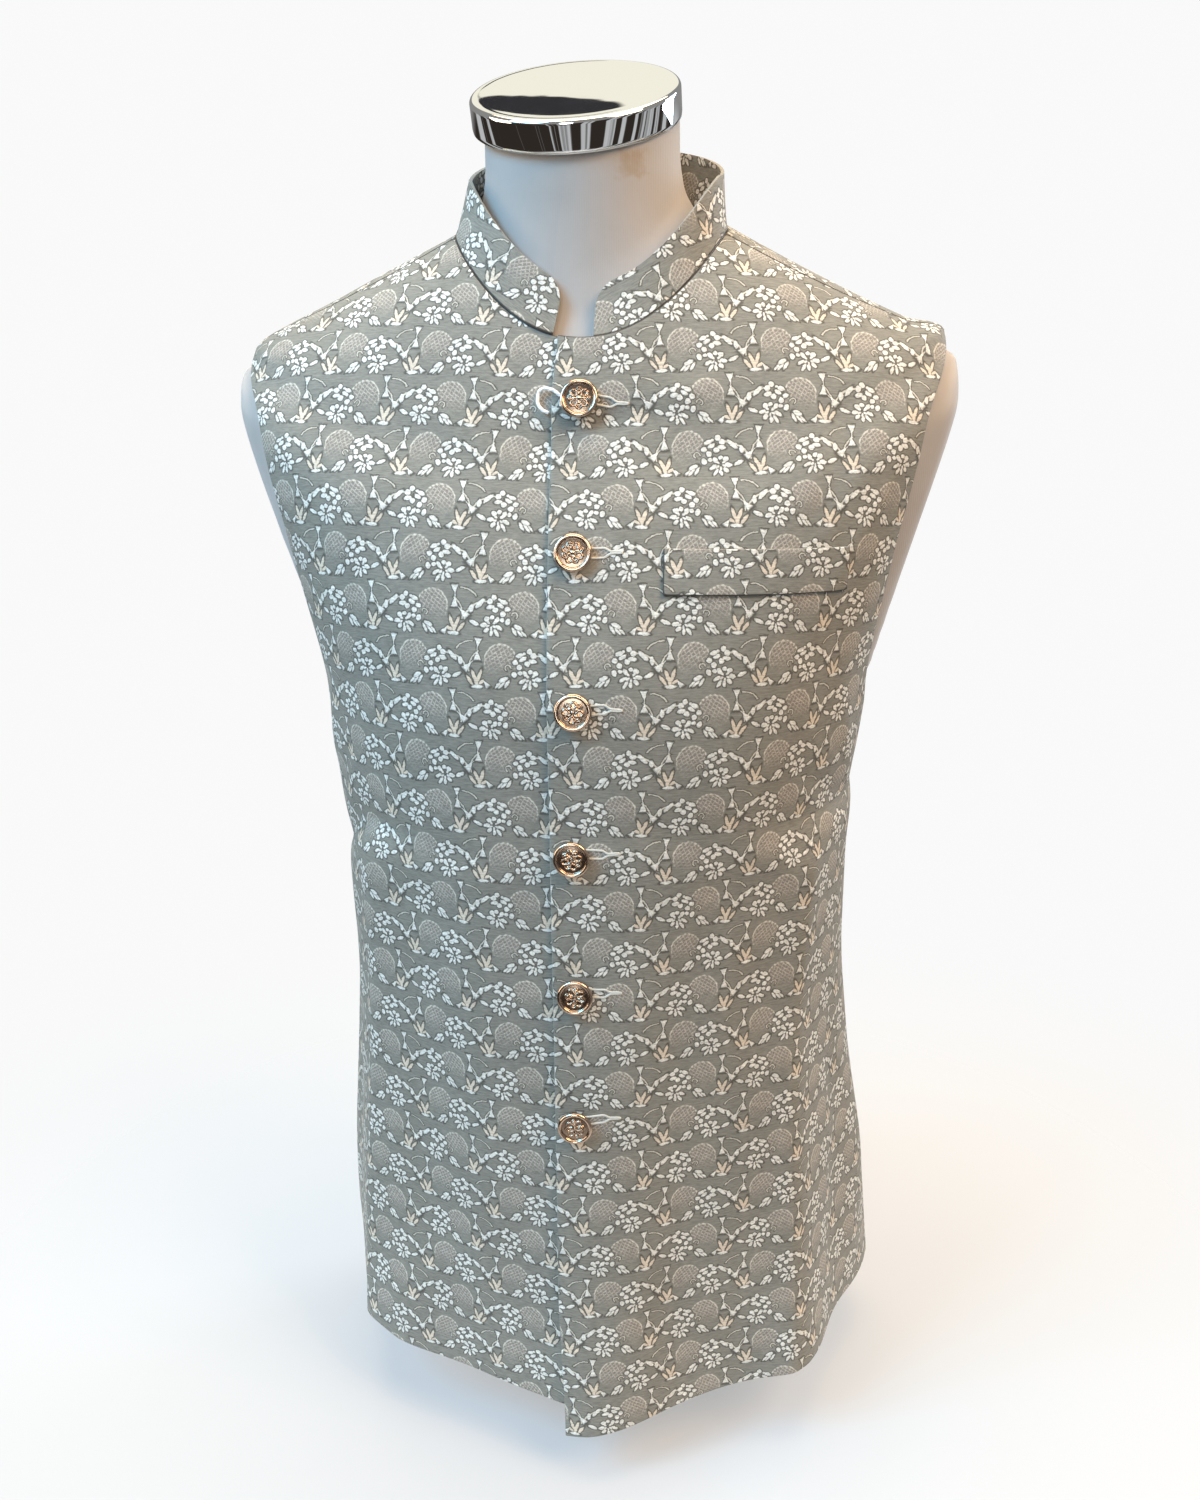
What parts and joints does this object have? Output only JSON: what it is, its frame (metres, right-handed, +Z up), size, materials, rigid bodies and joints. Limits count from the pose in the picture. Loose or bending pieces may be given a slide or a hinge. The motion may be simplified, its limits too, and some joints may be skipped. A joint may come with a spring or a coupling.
{
  "type": "nehru jacket on a dress form",
  "caption": "Sleeveless band-collared jacket with a buttoned front and a breast welt, resting on a limbless dress form with a metal neck cap.",
  "frame": {"origin": "middle of the dress form's flat base, below the middle of the garment", "axes": "+Z up, the front of the jacket faces -Y, +X is the wearer's left"},
  "size_m": [0.4184, 0.2616, 0.8472],
  "materials": {
    "jacquard": "matt sage grey jacquard with a cream floral figure",
    "form_fabric": "matt off-white stretched fabric",
    "chrome": "polished",
    "antique_brass": "antiqued, polished rim",
    "white_thread": "twisted cord"
  },
  "bodies": {
    "root": {"front_left": "jacquard", "front_right": "jacquard", "back": "jacquard", "collar": "jacquard", "welt_pocket": "jacquard", "button_1": "antique_brass", "button_2": "antique_brass", "button_3": "antique_brass", "button_4": "antique_brass", "button_5": "antique_brass", "button_6": "antique_brass", "cord_loop": "white_thread", "dress_form": "form_fabric", "neck_cap": "chrome"}
  },
  "joints": []
}
